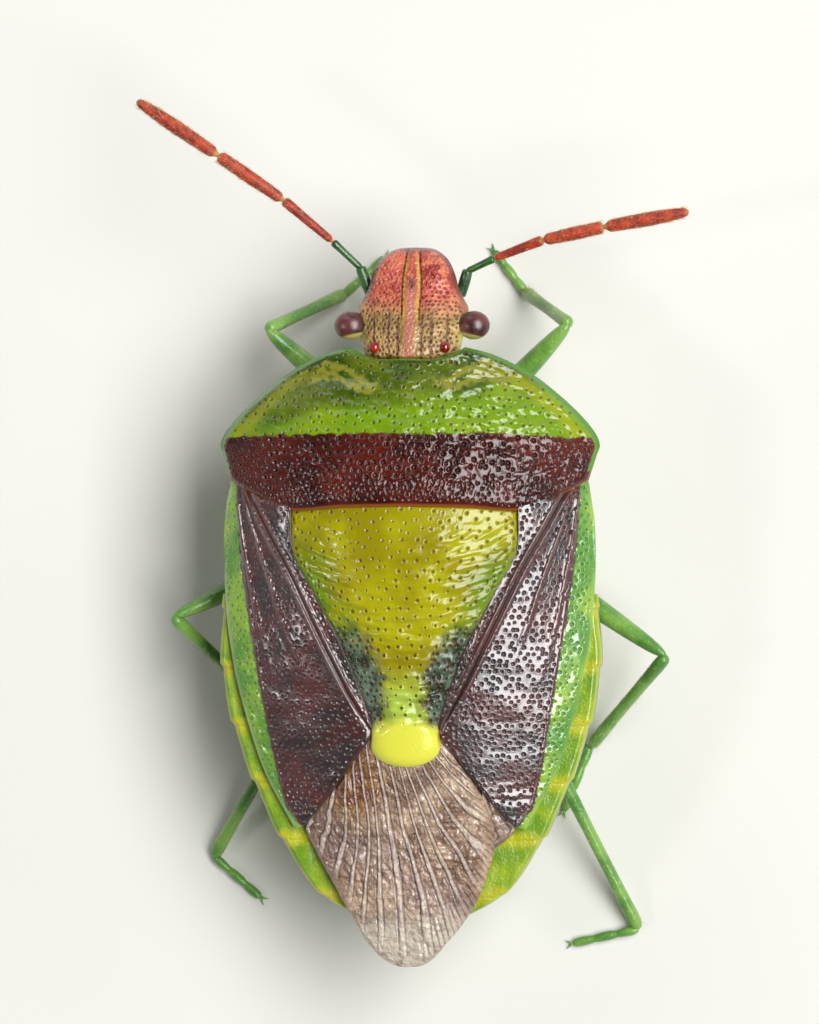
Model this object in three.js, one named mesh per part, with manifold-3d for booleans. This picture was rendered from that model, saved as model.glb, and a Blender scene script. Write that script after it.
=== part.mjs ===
// A shield bug at rest on its six feet, life size, as a museum model.
// Millimetres, +Z up. The head points to -Y and the animal's left side is +X.
// Inside this file y runs from the tip of the head (0) to the tip of the wings (WING_TIP),
// and z from the floor. The last lines move the origin to the middle of the foot of its box.

import * as THREE from "three";
import { mergeVertices } from "three/addons/utils/BufferGeometryUtils.js";
import Module from "manifold-3d";

// Driving dimensions
const WING_TIP = 12.04; // body length, head tip to wing tip
const GAP = 0.1; // clearance between neighbouring pieces
const SEAM = 0.07; // and between the plates of the back, which all but touch
const PLATE = 0.5; // thickness of the hard wings, the shield and the pronotum
const MEMBRANE = 0.32; // thickness of a wing's soft tip near its root
const MEMBRANE_EDGE = 0.2; // and along its free edge
const VEIN_HEIGHT = 0.07;
const VEINS = 11;
const HEAD_BASE = 1.78;
const PRONOTUM_FRONT = 1.87;
const PRONOTUM_REAR = 4.31;
const SHIELD_BASE = 4.5;
const SHIELD_TIP = 8.68;
const WAIST = 6.05; // where the underside of the thorax meets the abdomen
const ABDOMEN_END = 11.3;
const TOOTH = 0.06; // how far each abdominal segment's rear corner stands out
const SEGMENT = 0.96;
const LAST_TOOTH = 10.87;
const BELLY = 1.25; // height of the underside over the floor
const EYE_RADIUS = 0.24;
const OCELLUS_RADIUS = 0.09;
const LIMB_RADIUS = 0.25;
const COXA_RADIUS = 0.3;
const ANKLE_HEIGHT = 0.26; // axis of a foot over the floor where it meets the tibia
const TOE_HEIGHT = 0.17; // and at its tip, low enough to leave a flat sole

const { lerp, clamp } = THREE.MathUtils;
const wasm = await Module();
wasm.setup();

// A smooth value along a line of [place, value] stations, constant beyond its ends.
function along(...stations) {
  const last = stations.length - 1;
  const slope = (i) => {
    const [a, b] = [stations[Math.max(i - 1, 0)], stations[Math.min(i + 1, last)]];
    return (b[1] - a[1]) / (b[0] - a[0]);
  };
  return (place) => {
    const at = clamp(place, stations[0][0], stations[last][0]);
    const i = clamp(stations.findIndex((s) => s[0] >= at), 1, last);
    const [[x0, y0], [x1, y1]] = [stations[i - 1], stations[i]];
    const [span, t] = [x1 - x0, (at - x0) / (x1 - x0)];
    const [near, far] = [slope(i - 1) * span, slope(i) * span];
    const [t2, t3] = [t * t, t * t * t];
    return (
      (2 * t3 - 3 * t2 + 1) * y0 + (t3 - 2 * t2 + t) * near +
      (3 * t2 - 2 * t3) * y1 + (t3 - t2) * far
    );
  };
}

// The outline seen from above, and the heights of the back's middle line and of its rim.
const halfWidth = along(
  [1.6, 1.25], [2.0, 1.95], [2.7, 2.78], [3.3, 3.16], [4.7, 3.08], [5.9, 3.15],
  [6.74, 3.2], [7.5, 3.12], [8.1, 2.97], [8.93, 2.67], [10.0, 2.15], [10.87, 1.5], [11.3, 0.75],
);
const crest = along(
  [1.6, 3.35], [2.6, 3.75], [3.6, 4.0], [4.4, 4.05], [6.0, 3.9], [7.5, 3.65],
  [8.7, 3.4], [10.0, 3.15], [12.0, 2.9],
);
const rim = along([1.6, 2.85], [3.3, 3.0], [6.0, 2.9], [9.0, 2.72], [11.0, 2.62], [12.0, 2.6]);
const WING_SPAN = 2.2; // the wings stay nearly level behind the body's widest part

function back(x, y) {
  const reach = Math.min(Math.abs(x) / Math.max(halfWidth(y), WING_SPAN), 1);
  return lerp(crest(y), rim(y), reach ** 2.2);
}

// Plates and body cores: a box of grid cells whose faces are bent to a top and an under surface.
function slab(columns, rows, place, top, under) {
  const shape = new THREE.BoxGeometry(1, 1, 1, columns, rows, 1);
  const p = shape.attributes.position;
  for (let i = 0; i < p.count; i++) {
    const [u, v] = [p.getX(i) + 0.5, p.getY(i) + 0.5];
    const [x, y] = place(u, v);
    p.setXYZ(i, x, y, (p.getZ(i) > 0 ? top : under)(x, y, u, v));
  }
  return shape;
}

function solidOf(shape) {
  for (const name of ["normal", "uv"]) shape.deleteAttribute(name);
  const merged = mergeVertices(shape, 1e-4);
  const corners = [];
  for (let i = 0; i < merged.index.count; i += 3) {
    const [a, b, c] = [0, 1, 2].map((k) => merged.index.getX(i + k));
    if (a !== b && b !== c && c !== a) corners.push(a, b, c);
  }
  return new wasm.Manifold(
    new wasm.Mesh({
      numProp: 3,
      vertProperties: merged.attributes.position.array,
      triVerts: new Uint32Array(corners),
    }),
  );
}

// The largest closed surface of a solid, as a geometry.
function shapeOf(solid) {
  const bodies = solid.decompose().sort((a, b) => b.volume() - a.volume());
  const mesh = bodies[0].getMesh();
  const shape = new THREE.BufferGeometry();
  shape.setAttribute("position", new THREE.BufferAttribute(mesh.vertProperties, 3));
  shape.setIndex(new THREE.BufferAttribute(mesh.triVerts, 1));
  return shape;
}

// Limbs: a round shaft between two points with domed ends, radii given at start, middle and end.
const SIDES = 8;

function limb(from, to, [start, middle, end], extra = 0) {
  const length = from.distanceTo(to);
  const profile = [];
  for (const turn of [-90, -45, 0]) {
    const angle = THREE.MathUtils.degToRad(turn);
    const r = start + extra;
    profile.push(new THREE.Vector2(r * Math.cos(angle), r * Math.sin(angle)));
  }
  profile.push(new THREE.Vector2(middle + extra, length / 2));
  for (const turn of [0, 45, 90]) {
    const angle = THREE.MathUtils.degToRad(turn);
    const r = end + extra;
    profile.push(new THREE.Vector2(r * Math.cos(angle), length + r * Math.sin(angle)));
  }
  profile[0].x = 0;
  profile.at(-1).x = 0;
  const shape = new THREE.LatheGeometry(profile, SIDES);
  const heading = to.clone().sub(from).normalize();
  const turn = new THREE.Quaternion().setFromUnitVectors(new THREE.Vector3(0, 1, 0), heading);
  shape.applyQuaternion(turn).translate(from.x, from.y, from.z);
  return solidOf(shape);
}

function ball(centre, radii, extra = 0, segments = 12) {
  const shape = new THREE.SphereGeometry(1, segments, segments / 2 + 2);
  shape.rotateX(Math.PI / 2);
  shape.scale(radii.x + extra, radii.y + extra, radii.z + extra);
  return solidOf(shape.translate(centre.x, centre.y, centre.z));
}

const point = (x, y, z) => new THREE.Vector3(x, y, z);

// Materials
const finish = (color, roughness) =>
  new THREE.MeshStandardMaterial({ color, roughness, metalness: 0 });
const cuticleGreen = finish(0x8fae1e, 0.35);
const shieldOlive = finish(0xa3a31a, 0.35);
const wingMaroon = finish(0x4a1712, 0.3);
const wingMembrane = finish(0xb09a86, 0.45);
const headRed = finish(0xc8643c, 0.4);
const eyePurple = finish(0x7a4a50, 0.2);
const limbGreen = finish(0x4f9a3c, 0.35);
const antennaRed = finish(0xb8321c, 0.45);
const bellyGreen = finish(0x86b04a, 0.4);

const bug = new THREE.Group();

function add(name, shape, material) {
  const mesh = new THREE.Mesh(shape, material);
  mesh.name = name;
  bug.add(mesh);
}

const sides = { left: 1, right: -1 };

// Pronotum: the collar plate from the neck to the wing roots, widest at the shoulders.
const shoulderLine = new THREE.SplineCurve([
  new THREE.Vector2(1.28, 1.7), new THREE.Vector2(1.97, 2.0), new THREE.Vector2(2.8, 2.72),
  new THREE.Vector2(3.19, 3.28), new THREE.Vector2(3.11, 3.52), new THREE.Vector2(2.95, 3.82),
]);
const pronotumFront = along([0, PRONOTUM_FRONT], [0.6, PRONOTUM_FRONT - 0.02], [1, 1.7]);
const pronotumRear = along([0, PRONOTUM_REAR], [0.62, PRONOTUM_REAR + 0.08], [1, 3.82]);
const SHOULDER = [shoulderLine.getPoint(0).y, shoulderLine.getPoint(1).y];

function onPronotum(u, v) {
  const across = 2 * u - 1;
  const edge = shoulderLine.getPointAt(v);
  const share = (edge.y - SHOULDER[0]) / (SHOULDER[1] - SHOULDER[0]);
  const reach = Math.abs(across);
  return [across * edge.x, lerp(pronotumFront(reach), pronotumRear(reach), share)];
}

const pronotumTop = (x, y) => back(x, y) - 0.1 * (Math.abs(x) / 3.2) ** 6;
add(
  "pronotum",
  slab(24, 10, onPronotum, pronotumTop, (x, y) => back(x, y) - PLATE),
  cuticleGreen,
);

// Scutellum: the triangular shield between the wings, with a round raised tip.
const shieldHalf = along(
  [SHIELD_BASE, 1.9], [5.1, 1.86], [5.8, 1.5], [6.67, 1.07], [7.4, 0.77],
  [8.08, 0.57], [8.38, 0.55], [8.58, 0.4], [SHIELD_TIP, 0.18],
);
const shieldRise = (x, y) => 0.14 * (1 - clamp(Math.abs(x) / shieldHalf(y), 0, 1) ** 2);

add(
  "scutellum",
  slab(
    14, 18,
    (u, v) => {
      const y = lerp(SHIELD_BASE, SHIELD_TIP, v);
      return [(2 * u - 1) * shieldHalf(y), y];
    },
    (x, y) => back(x, y) + shieldRise(x, y),
    (x, y) => back(x, y) - PLATE,
  ),
  shieldOlive,
);

// Forewings: a narrow clavus beside the shield, the leathery corium, and the soft membrane.
const coriumInner = new THREE.SplineCurve([
  new THREE.Vector2(2.76, 4.12), new THREE.Vector2(2.14, 5.2), new THREE.Vector2(1.71, 5.98),
  new THREE.Vector2(1.03, 7.05), new THREE.Vector2(0.69, 7.95), new THREE.Vector2(0.98, 8.7),
  new THREE.Vector2(1.38, 9.3), new THREE.Vector2(1.74, 9.62),
]);
const coriumOuter = new THREE.SplineCurve([
  new THREE.Vector2(2.98, 3.97), new THREE.Vector2(3.08, 4.8), new THREE.Vector2(3.04, 5.9),
  new THREE.Vector2(2.92, 6.75), new THREE.Vector2(2.72, 7.6), new THREE.Vector2(2.38, 8.75),
  new THREE.Vector2(1.9, 9.72),
]);
const CLAVUS_START = 4.58;
const CLAVUS_END = 6.4;
const CLAVUS_SHARE = 0.4; // of the corium's inner edge, from the shoulder back

function onClavus(u, v) {
  const outer = coriumInner.getPointAt(v * CLAVUS_SHARE);
  const innerY = lerp(CLAVUS_START, CLAVUS_END, v);
  const inner = shieldHalf(innerY) + SEAM;
  return [lerp(inner, outer.x - SEAM, u), lerp(innerY, outer.y - SEAM / 2, u)];
}

function onCorium(u, v) {
  const [inner, outer] = [coriumInner.getPointAt(v), coriumOuter.getPointAt(v)];
  return [lerp(inner.x, outer.x, u), lerp(inner.y, outer.y, u)];
}

for (const [name, side] of Object.entries(sides)) {
  const mirrored = (place) => (u, v) => {
    const [x, y] = place(side > 0 ? u : 1 - u, v);
    return [side * x, y];
  };
  const under = (x, y) => back(x, y) - PLATE;
  add(`clavus_${name}`, slab(3, 10, mirrored(onClavus), back, under), wingMaroon);
  add(`corium_${name}`, slab(6, 18, mirrored(onCorium), back, under), wingMaroon);
}

// The soft tips cross over: the left one lies on the right one. Each fans out from its root,
// with a ridge along every second grid line for the veins.
const membraneRoot = new THREE.SplineCurve([
  new THREE.Vector2(1.66, 9.72), new THREE.Vector2(1.28, 9.4), new THREE.Vector2(0.88, 8.84),
  new THREE.Vector2(0.3, 8.82), new THREE.Vector2(-0.2, 8.82), new THREE.Vector2(-0.56, 8.72),
]);
const membraneEdge = new THREE.SplineCurve([
  new THREE.Vector2(1.7, 9.9), new THREE.Vector2(1.38, 10.5), new THREE.Vector2(0.98, 11.15),
  new THREE.Vector2(0.5, 11.85), new THREE.Vector2(0.05, WING_TIP), new THREE.Vector2(-0.72, 11.55),
  new THREE.Vector2(-1.25, 10.85), new THREE.Vector2(-1.42, 10.1), new THREE.Vector2(-1.32, 9.5),
  new THREE.Vector2(-0.8, 8.9),
]);

function onMembrane(u, v) {
  const [root, edge] = [membraneRoot.getPointAt(1 - u), membraneEdge.getPointAt(1 - u)];
  return [lerp(root.x, edge.x, v), lerp(root.y, edge.y, v)];
}

const softness = (v) => lerp(MEMBRANE, MEMBRANE_EDGE, v);
const vein = (u, v) => {
  const line = Math.round(u * 2 * VEINS) % 2;
  return line * VEIN_HEIGHT * clamp(3 * (1 - v), 0, 1);
};

for (const [name, side] of Object.entries(sides)) {
  const drop = side > 0 ? 0 : MEMBRANE + VEIN_HEIGHT + GAP;
  const place = (u, v) => {
    const [x, y] = onMembrane(side > 0 ? u : 1 - u, v);
    return [side * x, y];
  };
  const base = (x, y) => back(x, y) - drop - VEIN_HEIGHT;
  add(
    `membrane_${name}`,
    slab(
      2 * VEINS, 8, place,
      (x, y, u, v) => base(x, y) + vein(u, v),
      (x, y, u, v) => base(x, y) - softness(v),
    ),
    wingMembrane,
  );
}

// Underside. Its cross-section falls from the rim to a flat keel along the middle.
function belly(x, y, half, edge, keel) {
  const reach = clamp(Math.abs(x) / half, 0, 1);
  return lerp(edge, keel, (1 - reach ** 2) ** 0.75);
}

// Thorax: the core under the pronotum and the wing roots, hollowed where each leg's coxa sits.
const thoraxHalf = (y) => halfWidth(y) - 0.3;
const thoraxKeel = along([2.0, 1.75], [2.7, 1.35], [3.6, BELLY], [WAIST, BELLY]);
const thoraxTop = (x, y) => back(x, y) - PLATE - GAP;

const coxae = { front: [0.62, 3.06], middle: [0.72, 4.6], hind: [0.8, 5.6] };
const coxaTop = 1.4;
const coxaEnd = 0.92;

function coxa(side, [x, y], extra = 0) {
  const from = point(side * (x - 0.12), y, coxaTop);
  const to = point(side * (x + 0.08), y, coxaEnd);
  return limb(from, to, [COXA_RADIUS, COXA_RADIUS, COXA_RADIUS - 0.02], extra);
}

let thorax = solidOf(
  slab(
    16, 12,
    (u, v) => {
      const y = lerp(1.98, WAIST - GAP / 2, v);
      return [(2 * u - 1) * thoraxHalf(y), y];
    },
    thoraxTop,
    (x, y) => belly(x, y, thoraxHalf(y), thoraxTop(thoraxHalf(y), y) - 0.25, thoraxKeel(y)),
  ),
);
for (const side of Object.values(sides)) {
  for (const seat of Object.values(coxae)) thorax = thorax.subtract(coxa(side, seat, GAP));
}
add("thorax", shapeOf(thorax), bellyGreen);

// Abdomen: a tray under the wings whose raised rim, the connexivum, shows beside them.
// Each segment's rear corner stands out a little as a tooth.
const wingOuter = along(
  [5.9, 3.04], [6.75, 2.92], [7.6, 2.72], [8.75, 2.38], [9.72, 1.92], [10.3, 1.62],
  [10.87, 1.3], [ABDOMEN_END, 0.6],
);
const wingDepth = along([7.0, PLATE + GAP], [8.6, 0.98], [12, 0.86]);
const abdomenKeel = along([WAIST, BELLY], [9.5, BELLY], [10.6, 1.5], [ABDOMEN_END, 1.75]);
const RIM_THICKNESS = 0.5;

const tooth = (y) => {
  const along01 = (((y - LAST_TOOTH) / SEGMENT) % 1 + 1) % 1;
  return y > LAST_TOOTH ? 0 : TOOTH * (along01 === 0 ? 1 : along01);
};
const TRAY = 0.8; // share of the columns that lie under the wings
const LEDGE = 0.82; // where the rim stands up beside them
const half = [0.28, 0.55, TRAY, LEDGE, 0.9, 1];
const bends = [...half.toReversed().map((b) => -b), 0, ...half];

function onAbdomen(u, v) {
  const bend = bends[Math.round(u * (bends.length - 1))];
  const y = lerp(WAIST + GAP / 2, ABDOMEN_END, v);
  const outer = halfWidth(y) + tooth(y);
  const inner = Math.min(wingOuter(y) + GAP, outer - 0.1);
  const reach = Math.abs(bend);
  const rimShare = (reach - TRAY) / (1 - TRAY);
  const x = reach > TRAY ? lerp(inner, outer, rimShare) : (inner * reach) / TRAY;
  return [Math.sign(bend) * x, y];
}

function abdomenTop(x, y, u) {
  const bend = Math.abs(bends[Math.round(u * (bends.length - 1))]);
  return bend >= LEDGE && y < LAST_TOOTH ? rim(y) - 0.04 : back(x, y) - wingDepth(y);
}

add(
  "abdomen",
  slab(
    bends.length - 1, 22, onAbdomen, abdomenTop,
    (x, y) => belly(x, y, halfWidth(y) + TOOTH, rim(y) - RIM_THICKNESS, abdomenKeel(y)),
  ),
  bellyGreen,
);

// Head: a sloping wedge with blunt side lobes, sockets for the eyes and two fused ocelli.
const headHalf = along(
  [0, 0.2], [0.08, 0.42], [0.3, 0.64], [0.58, 0.73], [0.85, 0.8], [1.1, 0.93],
  [1.4, 0.98], [HEAD_BASE, 0.85],
);
const headTop = along([0, 2.55], [0.2, 2.72], [0.8, 2.98], [1.4, 3.24], [HEAD_BASE, 3.34]);
const headUnder = along([0, 2.42], [0.3, 2.3], [1.0, 2.02], [HEAD_BASE, 1.95]);
const eyeAt = (side) => point(side * 1.12, 1.33, 2.82);
const eyeRadii = point(EYE_RADIUS, EYE_RADIUS, EYE_RADIUS);

const headArch = (x, y) => clamp(Math.abs(x) / headHalf(y), 0, 1) ** 2;
let head = solidOf(
  slab(
    12, 14,
    (u, v) => {
      const y = lerp(0, HEAD_BASE, v);
      return [(2 * u - 1) * headHalf(y), y];
    },
    (x, y) => headTop(y) - 0.32 * headArch(x, y) * clamp(y, 0.3, 1),
    (x, y) => lerp(headUnder(y), headTop(y) - 0.5, 0.8 * headArch(x, y)),
  ),
);
const antennaRadius = [LIMB_RADIUS * 0.9, LIMB_RADIUS, LIMB_RADIUS];
const antennaJoints = {
  left: [
    point(0.76, 0.78, 2.2), point(0.9, 0.32, 2.4), point(1.3, -0.1, 2.62),
    point(2.12, -0.8, 2.9), point(3.18, -1.52, 3.05), point(4.42, -2.36, 3.1),
  ],
  right: [
    point(-0.8, 0.82, 2.2), point(-1.02, 0.42, 2.4), point(-1.42, 0.16, 2.62),
    point(-2.2, -0.12, 2.9), point(-3.23, -0.31, 3.05), point(-4.56, -0.55, 3.1),
  ],
};
for (const [name, side] of Object.entries(sides)) {
  const [root, next] = antennaJoints[name];
  const ocellus = point(side * 0.58, 1.66, headTop(1.66) - 0.16);
  const ocellusRadii = point(OCELLUS_RADIUS, OCELLUS_RADIUS, OCELLUS_RADIUS);
  head = head
    .subtract(ball(eyeAt(side), eyeRadii, GAP / 2))
    .subtract(limb(root, next, antennaRadius, GAP))
    .add(ball(ocellus, ocellusRadii, 0, 8));
  add(`eye_${name}`, shapeOf(ball(eyeAt(side), eyeRadii)), eyePurple);
}
add("head", shapeOf(head), headRed);

// Antennae: five joints each, every one seated on the domed end of the one before.
const TIP_RADIUS = 0.12;
for (const [name, joints] of Object.entries(antennaJoints)) {
  for (let i = 0; i < joints.length - 1; i++) {
    const isLast = i === joints.length - 2;
    const radii = [...antennaRadius.slice(0, 2), isLast ? TIP_RADIUS : LIMB_RADIUS * 0.9];
    let joint = limb(joints[i], joints[i + 1], radii);
    if (i > 0) joint = joint.subtract(limb(joints[i - 1], joints[i], antennaRadius, GAP));
    add(`antenna_${name}_${i + 1}`, shapeOf(joint), i < 2 ? limbGreen : antennaRed);
  }
}

// Rostrum: the jointed beak, folded back along the middle of the underside.
const beak = [point(0, 0.45, 1.93), point(0, 1.35, 1.5), point(0, 2.6, 0.96), point(0, 5.1, 0.96)];
const BEAK_RADIUS = 0.18;
let rostrum = limb(beak[0], beak[1], [BEAK_RADIUS, BEAK_RADIUS, BEAK_RADIUS]);
for (let i = 1; i < beak.length - 1; i++) {
  const end = i === beak.length - 2 ? 0.12 : BEAK_RADIUS;
  rostrum = rostrum.add(limb(beak[i], beak[i + 1], [BEAK_RADIUS, BEAK_RADIUS, end]));
}
add("rostrum", shapeOf(rostrum), limbGreen);

// Legs: coxa, femur, tibia and a foot whose flat sole lies on the floor.
const legs = {
  front: {
    left: [point(2.56, 1.35, 1.75), point(1.45, 0.72, ANKLE_HEIGHT), point(0.75, 0.1, TOE_HEIGHT)],
    right: [point(-2.56, 1.27, 1.75), point(-1.65, 0.7, ANKLE_HEIGHT), point(-1.1, 0.0, TOE_HEIGHT)],
  },
  middle: {
    left: [point(4.02, 6.22, 1.75), point(2.75, 7.75, ANKLE_HEIGHT), point(2.5, 8.85, TOE_HEIGHT)],
    right: [point(-4.2, 6.85, 1.75), point(-2.75, 8.4, ANKLE_HEIGHT), point(-2.3, 9.5, TOE_HEIGHT)],
  },
  hind: {
    left: [point(2.42, 8.3, 1.15), point(3.7, 10.3, ANKLE_HEIGHT), point(2.9, 11.0, TOE_HEIGHT)],
    right: [point(-2.3, 8.75, 1.15), point(-3.58, 11.5, ANKLE_HEIGHT), point(-2.45, 11.75, TOE_HEIGHT)],
  },
};
const hipHeight = 0.72;
const legRadii = [LIMB_RADIUS, LIMB_RADIUS, LIMB_RADIUS];
const shinRadii = [LIMB_RADIUS, LIMB_RADIUS - 0.01, LIMB_RADIUS - 0.02];
const footRadii = [LIMB_RADIUS - 0.02, LIMB_RADIUS, 0.22];

const floor = solidOf(new THREE.BoxGeometry(30, 40, 4).translate(0, 5, -2));
for (const [row, pair] of Object.entries(legs)) {
  for (const [name, [knee, ankle, toe]] of Object.entries(pair)) {
    const side = sides[name];
    const [x, y] = coxae[row];
    const hip = point(side * (x + 0.1), y, hipHeight);
    const ends = [hip, knee, ankle, toe];
    const shapes = [legRadii, shinRadii, footRadii];
    add(`coxa_${row}_${name}`, shapeOf(coxa(side, coxae[row])), bellyGreen);
    ["femur", "tibia", "tarsus"].forEach((piece, i) => {
      let solid = limb(ends[i], ends[i + 1], shapes[i]);
      const before = i ? limb(ends[i - 1], ends[i], shapes[i - 1], GAP) : coxa(side, [x, y], GAP);
      solid = solid.subtract(before).subtract(floor);
      add(`${piece}_${row}_${name}`, shapeOf(solid), limbGreen);
    });
  }
}

// The origin goes to the middle of the foot of the box round the whole animal.
const box = new THREE.Box3().setFromObject(bug);
const middle = box.getCenter(new THREE.Vector3());
bug.position.set(-middle.x, -middle.y, -box.min.z);
const part = new THREE.Group();
part.name = "shield_bug";
part.add(bug);

export default part;
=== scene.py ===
import math

import bmesh
import bpy
import numpy as np
from mathutils import Matrix, Vector, noise
from mathutils.kdtree import KDTree


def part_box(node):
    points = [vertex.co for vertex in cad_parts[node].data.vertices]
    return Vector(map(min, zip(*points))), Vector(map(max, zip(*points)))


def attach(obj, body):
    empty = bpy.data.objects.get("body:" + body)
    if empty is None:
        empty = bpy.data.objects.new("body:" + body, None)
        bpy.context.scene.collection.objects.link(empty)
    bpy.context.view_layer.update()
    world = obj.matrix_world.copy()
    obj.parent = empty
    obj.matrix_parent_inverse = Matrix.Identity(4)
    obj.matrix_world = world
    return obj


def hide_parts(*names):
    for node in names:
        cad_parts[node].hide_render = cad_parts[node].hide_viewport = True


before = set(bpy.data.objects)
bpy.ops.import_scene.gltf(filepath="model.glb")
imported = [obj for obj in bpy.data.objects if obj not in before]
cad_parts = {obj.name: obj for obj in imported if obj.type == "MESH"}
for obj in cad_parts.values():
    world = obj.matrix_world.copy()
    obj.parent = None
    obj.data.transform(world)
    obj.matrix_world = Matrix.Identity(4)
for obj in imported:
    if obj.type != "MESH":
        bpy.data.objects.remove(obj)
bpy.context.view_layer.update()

# Pronotum: the hard plate behind the head, glossy cuticle that is green in front and maroon behind.
# It is one grid bent to the animal's back, pitted all over, with its rim rolled down at the edges.
# Every size here is in millimetres, y from the tip of the head and z from the floor.
WING_TIP = 12.04
MM = 0.001
SHIFT = Vector((
    (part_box("scutellum")[0].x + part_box("scutellum")[1].x) / 2,
    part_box("membrane_left")[1].y - WING_TIP * MM,
    0,
))


def along(*stations):
    """A smooth value along a line of (place, value) stations, constant beyond its ends."""
    place, value = np.array(stations, float).T
    last = len(place) - 1
    before, after = np.r_[0, 0:last - 1, last - 1], np.r_[1, 2:last + 1, last]
    slope = (value[after] - value[before]) / (place[after] - place[before])

    def at(where):
        where = np.clip(np.asarray(where, float), place[0], place[-1])
        i = np.clip(np.searchsorted(place, where), 1, len(place) - 1)
        span = place[i] - place[i - 1]
        t = (where - place[i - 1]) / span
        near, far = slope[i - 1] * span, slope[i] * span
        return ((2 * t**3 - 3 * t**2 + 1) * value[i - 1] + (t**3 - 2 * t**2 + t) * near
                + (3 * t**2 - 2 * t**3) * value[i] + (t**3 - t**2) * far)
    return at


def spline(*corners):
    """A smooth line through corners, read by its share of the length: returns x and y."""
    corners = np.array(corners, float)
    steps = along(*enumerate(corners[:, 0])), along(*enumerate(corners[:, 1]))
    fine = np.linspace(0, len(corners) - 1, 400)
    x, y = steps[0](fine), steps[1](fine)
    length = np.r_[0, np.cumsum(np.hypot(np.diff(x), np.diff(y)))]
    length /= length[-1]
    return lambda share: (np.interp(share, length, x), np.interp(share, length, y))


def fade(value, start, end):
    """0 at start, 1 at end, smooth between."""
    t = np.clip((np.asarray(value, float) - start) / (end - start), 0, 1)
    return t * t * (3 - 2 * t)


def hump(value, middle, width):
    """1 at the middle and falling away softly on both sides."""
    return np.exp(-((value - middle) / width) ** 2)


def oval(x, y, middle, size):
    """Square of the distance from the middle of an oval: 1 on its outline."""
    return ((x - middle[0]) / size[0]) ** 2 + ((y - middle[1]) / size[1]) ** 2


def mix(a, b, share):
    return a + (b - a) * share


def ripple(x, y, fine_x, fine_y, seed=0.0):
    """Smooth noise from -1 to 1 with its own fineness, per millimetre, across and along."""
    spots = zip((x * fine_x).tolist(), (y * fine_y).tolist())
    return np.array([noise.noise(Vector((a, b, seed))) for a, b in spots])


half_width = along(
    (1.6, 1.25), (2.0, 1.95), (2.7, 2.78), (3.3, 3.16), (4.7, 3.08), (5.9, 3.15), (6.74, 3.2),
    (7.5, 3.12), (8.1, 2.97), (8.93, 2.67), (10.0, 2.15), (10.87, 1.5), (11.3, 0.75),
)
crest = along((1.6, 3.35), (2.6, 3.75), (3.6, 4.0), (4.4, 4.05), (6.0, 3.9), (7.5, 3.65),
              (8.7, 3.4), (10.0, 3.15), (12.0, 2.9))
rim = along((1.6, 2.85), (3.3, 3.0), (6.0, 2.9), (9.0, 2.72), (11.0, 2.62), (12.0, 2.6))
WING_SPAN = 2.2
BACK_CURVE = 2.2


def back(x, y):
    """Height of the animal's back."""
    reach = np.minimum(np.abs(x) / np.maximum(half_width(y), WING_SPAN), 1)
    return mix(crest(y), rim(y), reach**BACK_CURVE)


PIT_ROW_STEP = 0.86
PIT_STRAY = 0.27
PIT_SIZES = (0.72, 1.2)


def pits(x, y, spacing, radius, seed):
    """Punctures on uneven rows: the bowl is 1 in its middle and 0 beyond its radius, and a collar
    stands round it. The spacing and the radius are in millimetres."""
    own = np.random.default_rng(seed)
    across = np.arange(x.min(), x.max(), spacing)
    down = np.arange(y.min(), y.max(), spacing * PIT_ROW_STEP)
    centres = np.array([(a + 0.5 * spacing * (k % 2), b) for k, b in enumerate(down) for a in across])
    centres += own.uniform(-PIT_STRAY, PIT_STRAY, centres.shape) * spacing
    size = own.uniform(*PIT_SIZES, len(centres)) * radius
    tree = KDTree(len(centres))
    for k, (a, b) in enumerate(centres.tolist()):
        tree.insert((a, b, 0), k)
    tree.balance()
    found = [tree.find((a, b, 0))[1:] for a, b in zip(x.tolist(), y.tolist())]
    which = np.array([f[0] for f in found])
    away = np.array([f[1] for f in found]) / size[which]
    bowl = np.clip(1 - away**2, 0, 1) ** 1.3
    return bowl, hump(away, 1.25, 0.3)


def border(x, y, u, v, columns, rows):
    """Distance in millimetres from each grid point to the nearest edge of its plate."""
    across = np.hypot(np.gradient(x.reshape(rows, columns), axis=1),
                      np.gradient(y.reshape(rows, columns), axis=1)).sum(1) + 1e-6
    down = np.hypot(np.gradient(x.reshape(rows, columns), axis=0),
                    np.gradient(y.reshape(rows, columns), axis=0)).sum(0) + 1e-6
    side = np.minimum(u, 1 - u) * np.repeat(across, columns)
    end = np.minimum(v, 1 - v) * np.tile(down, rows)
    return np.minimum(side, end)


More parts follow.
